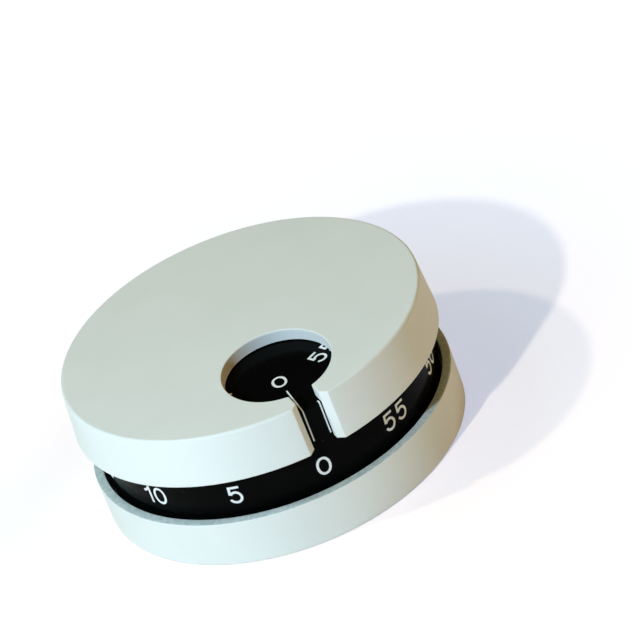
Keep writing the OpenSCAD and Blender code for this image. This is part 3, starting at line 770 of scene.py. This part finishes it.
def maths(tree, operation, first, second):
    """A maths node; the second value may be a socket or a number."""
    node = tree.nodes.new("ShaderNodeMath")
    node.operation = operation
    tree.links.new(first, node.inputs[0])
    if isinstance(second, (int, float)):
        node.inputs[1].default_value = second
    else:
        tree.links.new(second, node.inputs[1])
    return node.outputs["Value"]


def specks(tree, vector, scale, share, size):
    """1 in a few small scattered specks, 0 elsewhere."""
    cells = tree.nodes.new("ShaderNodeTexVoronoi")
    cells.inputs["Scale"].default_value = scale
    tree.links.new(vector, cells.inputs["Vector"])
    near = maths(tree, "LESS_THAN", cells.outputs["Distance"], size)
    pick = tree.nodes.new("ShaderNodeSeparateColor")
    tree.links.new(cells.outputs["Color"], pick.inputs["Color"])
    few = maths(tree, "LESS_THAN", pick.outputs["Red"], share)
    return maths(tree, "MULTIPLY", near, few)


def mix(tree, factor, first, second):
    """First colour turning into the second; a colour may be a socket or a triple."""
    node = tree.nodes.new("ShaderNodeMix")
    node.data_type = "RGBA"
    tree.links.new(factor, node.inputs["Factor"])
    for socket, colour in ((node.inputs["A"], first), (node.inputs["B"], second)):
        if isinstance(colour, tuple):
            socket.default_value = (*colour, 1.0)
        else:
            tree.links.new(colour, socket)
    return node.outputs["Result"]


def relief(tree, shader, layers):
    """Stacks (value, distance, strength) bumps into the shader's normal."""
    normal = None
    for value, distance, strength in layers:
        bump = tree.nodes.new("ShaderNodeBump")
        bump.inputs["Distance"].default_value = distance * MM
        bump.inputs["Strength"].default_value = strength
        tree.links.new(value, bump.inputs["Height"])
        if normal:
            tree.links.new(normal, bump.inputs["Normal"])
        normal = bump.outputs["Normal"]
    tree.links.new(normal, shader.inputs["Normal"])


def white_plastic():
    """Satin white moulded plastic: mould grain, faint clouding, tiny specks, and painted grey-green shade
    on the cup's rim under the cap.
    """
    material, tree, shader, at = new_material("white_plastic")
    cloud = noise(tree, at, 70)
    rim_shade_mottle = noise(tree, at, 1300, 4.0)
    grain = noise(tree, at, 3800, 2.0)
    ripple = noise(tree, at, 320, 2.0)
    tone = ramp(tree, cloud, [(0.3, (0.785, 0.812, 0.775)), (0.7, (0.815, 0.838, 0.805))])
    dark = specks(tree, at, 230, 0.035, 0.055)
    colour = mix(tree, dark, tone, (0.42, 0.42, 0.38))
    # Painted shade: a thin band at the top of the cup's rim, under the cap's overhang, turns grey-green,
    # mottled by noise
    rim_painted_shade = ramp(tree, rim_shade_mottle, [(0.35, (0.48, 0.56, 0.53)), (0.65, (0.62, 0.70, 0.67))])
    height = tree.nodes.new("ShaderNodeSeparateXYZ")
    tree.links.new(at, height.inputs["Vector"])
    above = maths(tree, "GREATER_THAN", height.outputs["Z"], (BASE_TOP - RIM_SHADE_H) * MM)
    below = maths(tree, "LESS_THAN", height.outputs["Z"], (BASE_TOP + RIM_SHADE_H) * MM)
    colour = mix(tree, maths(tree, "MULTIPLY", above, below), colour, rim_painted_shade)
    tree.links.new(colour, shader.inputs["Base Color"])
    tree.links.new(span(tree, ripple, 0.54, 0.58), shader.inputs["Roughness"])
    shader.inputs["Specular IOR Level"].default_value = 0.3
    relief(tree, shader, [(ripple, 0.01, 0.15), (grain, 0.006, 0.35)])
    return material


def black_plastic():
    """Glossy black moulded plastic with faint dust and hairline variation in its gloss."""
    material, tree, shader, at = new_material("black_plastic")
    cloud = noise(tree, at, 120)
    fine = noise(tree, at, 900, 4.0)
    tone = ramp(tree, cloud, [(0.3, (0.0012, 0.0014, 0.0014)), (0.7, (0.0022, 0.0024, 0.0024))])
    dust = specks(tree, at, 420, 0.03, 0.05)
    colour = mix(tree, dust, tone, (0.03, 0.03, 0.03))
    tree.links.new(colour, shader.inputs["Base Color"])
    tree.links.new(span(tree, fine, 0.14, 0.22), shader.inputs["Roughness"])
    shader.inputs["Specular IOR Level"].default_value = 0.02
    relief(tree, shader, [(fine, 0.003, 0.15)])
    return material


def white_ink():
    """White printing ink, a little uneven in its cover."""
    material, tree, shader, at = new_material("white_ink")
    cover = noise(tree, at, 1600, 3.0)
    tone = ramp(tree, cover, [(0.3, (0.80, 0.82, 0.81)), (0.65, (0.88, 0.89, 0.88))])
    tree.links.new(tone, shader.inputs["Base Color"])
    tree.links.new(span(tree, cover, 0.45, 0.6), shader.inputs["Roughness"])
    relief(tree, shader, [(cover, 0.002, 0.3)])
    return material


def metal(name, dull, bright, rough_low, rough_high, stretch=(1, 1, 12)):
    """A worked metal: fine tool marks along one way, cloudy tarnish and uneven gloss."""
    material, tree, shader, at = new_material(name)
    marks = noise(tree, at, 900, 3.0, stretch)
    cloud = noise(tree, at, 160)
    tone = ramp(tree, cloud, [(0.3, dull), (0.7, bright)])
    tree.links.new(tone, shader.inputs["Base Color"])
    shader.inputs["Metallic"].default_value = 1.0
    tree.links.new(span(tree, marks, rough_low, rough_high), shader.inputs["Roughness"])
    relief(tree, shader, [(marks, 0.004, 0.25)])
    return material


def metals():
    """The finish of each metal slot of the record."""
    strip = (1, 1, 20)
    plated = (1, 1, 1)
    return {
        "brass": metal("brass", (0.66, 0.45, 0.15), (0.80, 0.59, 0.25), 0.22, 0.38),
        "steel": metal("steel", (0.50, 0.50, 0.50), (0.64, 0.64, 0.63), 0.2, 0.36),
        "spring_steel": metal("spring_steel", (0.12, 0.14, 0.20), (0.22, 0.24, 0.30), 0.24, 0.4, strip),
        "bell_metal": metal("bell_metal", (0.62, 0.61, 0.58), (0.78, 0.77, 0.74), 0.08, 0.18, plated),
    }


def dress_cad(finishes):
    """Gives every CAD node that stays in view the finish of its own slot."""
    for entry in frame["record"]["subparts"]:
        finish = finishes.get(entry["material_slot"])
        if finish:
            mesh = frame["nodes"][entry["node"]].data
            mesh.materials.clear()
            mesh.materials.append(finish)


# Stage, light and camera

def light_path_sum(tree):
    """1 for rays from the camera, from gloss and through glass, which see the pale background."""
    path = tree.nodes.new("ShaderNodeLightPath")
    value = path.outputs["Is Camera Ray"]
    for kind in ("Is Glossy Ray", "Is Transmission Ray"):
        value = maths(tree, "MAXIMUM", value, path.outputs[kind])
    return value


def make_floor():
    """A white floor that keeps the object's shadow and, as the eye sees it, grows whiter away from it."""
    corners = [(sx * FLOOR_HALF, sy * FLOOR_HALF, 0) for sx, sy in ((-1, -1), (1, -1), (1, 1), (-1, 1))]
    floor = raw_object("floor", corners, [(0, 1, 2, 3)])
    material, tree, shader, at = new_material("floor_paper")
    fibre = noise(tree, at, 40)
    seen = light_path_sum(tree)
    bounce = ramp(tree, fibre, [(0.3, (0.93, 0.85, 0.74)), (0.7, (0.95, 0.87, 0.76))])
    shown = ramp(tree, fibre, [(0.3, (0.98, 0.65, 0.41)), (0.7, (1.00, 0.67, 0.43))])
    tree.links.new(mix(tree, seen, bounce, shown), shader.inputs["Base Color"])
    shader.inputs["Roughness"].default_value = 0.9
    shader.inputs["Specular IOR Level"].default_value = 0.0
    shader.inputs["Emission Color"].default_value = (0.30, 0.485, 0.71, 1.0)
    # Painted shade and light: as the eye sees it, the floor glows less close to the object, which darkens
    # the floor round it, and more farther off
    away = tree.nodes.new("ShaderNodeVectorMath")
    away.operation = "LENGTH"
    tree.links.new(at, away.inputs[0])
    glow = span(tree, away.outputs["Value"], 0.9, 1.5, GLOW_START, GLOW_END)
    tree.links.new(maths(tree, "MULTIPLY", seen, glow), shader.inputs["Emission Strength"])
    floor.data.materials.append(material)


def make_world():
    """A dim dome over pale ground, which lights only what is seen from below."""
    world = bpy.data.worlds.new("studio")
    world.use_nodes = True
    tree = world.node_tree
    coords = tree.nodes.new("ShaderNodeTexCoord")
    split = tree.nodes.new("ShaderNodeSeparateXYZ")
    tree.links.new(coords.outputs["Generated"], split.inputs["Vector"])
    height = maths(tree, "ADD", split.outputs["Z"], 0.5)
    sky = ramp(tree, height, [(0.46, (0.80, 0.80, 0.80)), (0.50, (0.05, 0.045, 0.02))])
    tree.links.new(sky, tree.nodes["Background"].inputs["Color"])
    bpy.context.scene.world = world


def add_lamp(name, kind, energy, shown):
    lamp = bpy.data.lights.new(name, kind)
    lamp.energy = energy
    lamp.color = shown
    obj = bpy.data.objects.new(name, lamp)
    bpy.context.scene.collection.objects.link(obj)
    return lamp, obj


def towards(from_xy, elevation):
    """Unit vector from the object to a lamp that stands in this direction of the plan."""
    flat = Vector((*from_xy, 0)).normalized() * math.cos(math.radians(elevation))
    return flat + Vector((0, 0, math.sin(math.radians(elevation))))


def make_sun(name, from_xy, elevation, shown, spread):
    """A distant lamp; a white face turned to it takes the shown colour."""
    lamp, obj = add_lamp(name, "SUN", math.pi, shown)
    lamp.angle = math.radians(spread)
    obj.rotation_mode = "QUATERNION"
    obj.rotation_quaternion = towards(from_xy, elevation).to_track_quat("Z", "Y")


def make_bulb(name, from_xy, elevation, shown, reach, radius):
    """A near round lamp; on top of the object a white face turned to it takes the shown colour."""
    lamp, obj = add_lamp(name, "POINT", (2 * math.pi * reach) ** 2, shown)
    lamp.shadow_soft_size = radius
    obj.location = towards(from_xy, elevation) * reach + Vector((0, 0, CAP_TOP * MM))


def make_camera():
    """The camera of the photograph: above the front, rolled by about a fifth of a right angle."""
    camera = bpy.data.cameras.new("camera")
    camera.sensor_width = 36
    camera.lens = 230.176
    camera.clip_start = 0.01
    camera.clip_end = 20
    obj = bpy.data.objects.new("camera", camera)
    bpy.context.scene.collection.objects.link(obj)
    right = Vector((0.87150958, -0.38150463, -0.30809944))
    up = Vector((0.45314137, 0.38637651, 0.80335303))
    back = Vector((-0.18744051, -0.83974246, 0.50960637))
    turn = Matrix((right, up, back)).transposed().to_4x4()
    obj.matrix_world = Matrix.Translation((-0.12179547, -0.60857778, 0.38970610)) @ turn
    bpy.context.scene.camera = obj


white = white_plastic()
black = black_plastic()
ink = white_ink()
finishes = metals()
steel = finishes["steel"]
spring_steel = finishes["spring_steel"]

make_piece("cap", *cap_mesh(), "cap", "white_case", white, ["turning_cap"])
make_piece("base", *base_mesh(), "case", "white_case", white, ["base_shell"], cutters=[floor_holes()])
make_piece("drum", *drum_mesh(), "case", "black_dial", black, ["dial_drum"])
make_piece("screws", *screw_mesh(), "case", "steel", steel, ["case_screws"], cutters=cross_recess())
make_piece("side_numbers", *numbers(on_side), "case", "white_case", ink)
make_piece("top_numbers", *numbers(on_top), "case", "white_case", ink)
make_piece("minute_lines", *minute_lines(), "case", "white_case", ink)
make_leaf("click_leaf", CLICK_FOOT, CLICK_TIP, CLICK_LEAF, CLICK_STEM,
          spring_steel, "click_spring")
make_leaf("hammer_leaf", HAMMER_FOOT, HAMMER_TIP, HAMMER_LEAF, HAMMER_STEM,
          spring_steel, "hammer_spring")
dress_cad(finishes)

make_floor()
make_world()
make_bulb("key", (-0.755, -0.656), elevation=33.4, shown=(0.52, 0.67, 0.83), reach=0.5, radius=0.01)
make_sun("second", (-0.975, 0.22), elevation=48, shown=(0.20, 0.23, 0.26), spread=3)
make_sun("warm", (0.9, -0.15), elevation=28, shown=(0.22, 0.12, 0.03), spread=40)
make_sun("soft", (-0.3, 0.3), elevation=75, shown=(0.147, 0.162, 0.086), spread=60)
make_camera()
bpy.context.scene.view_settings.view_transform = "Standard"
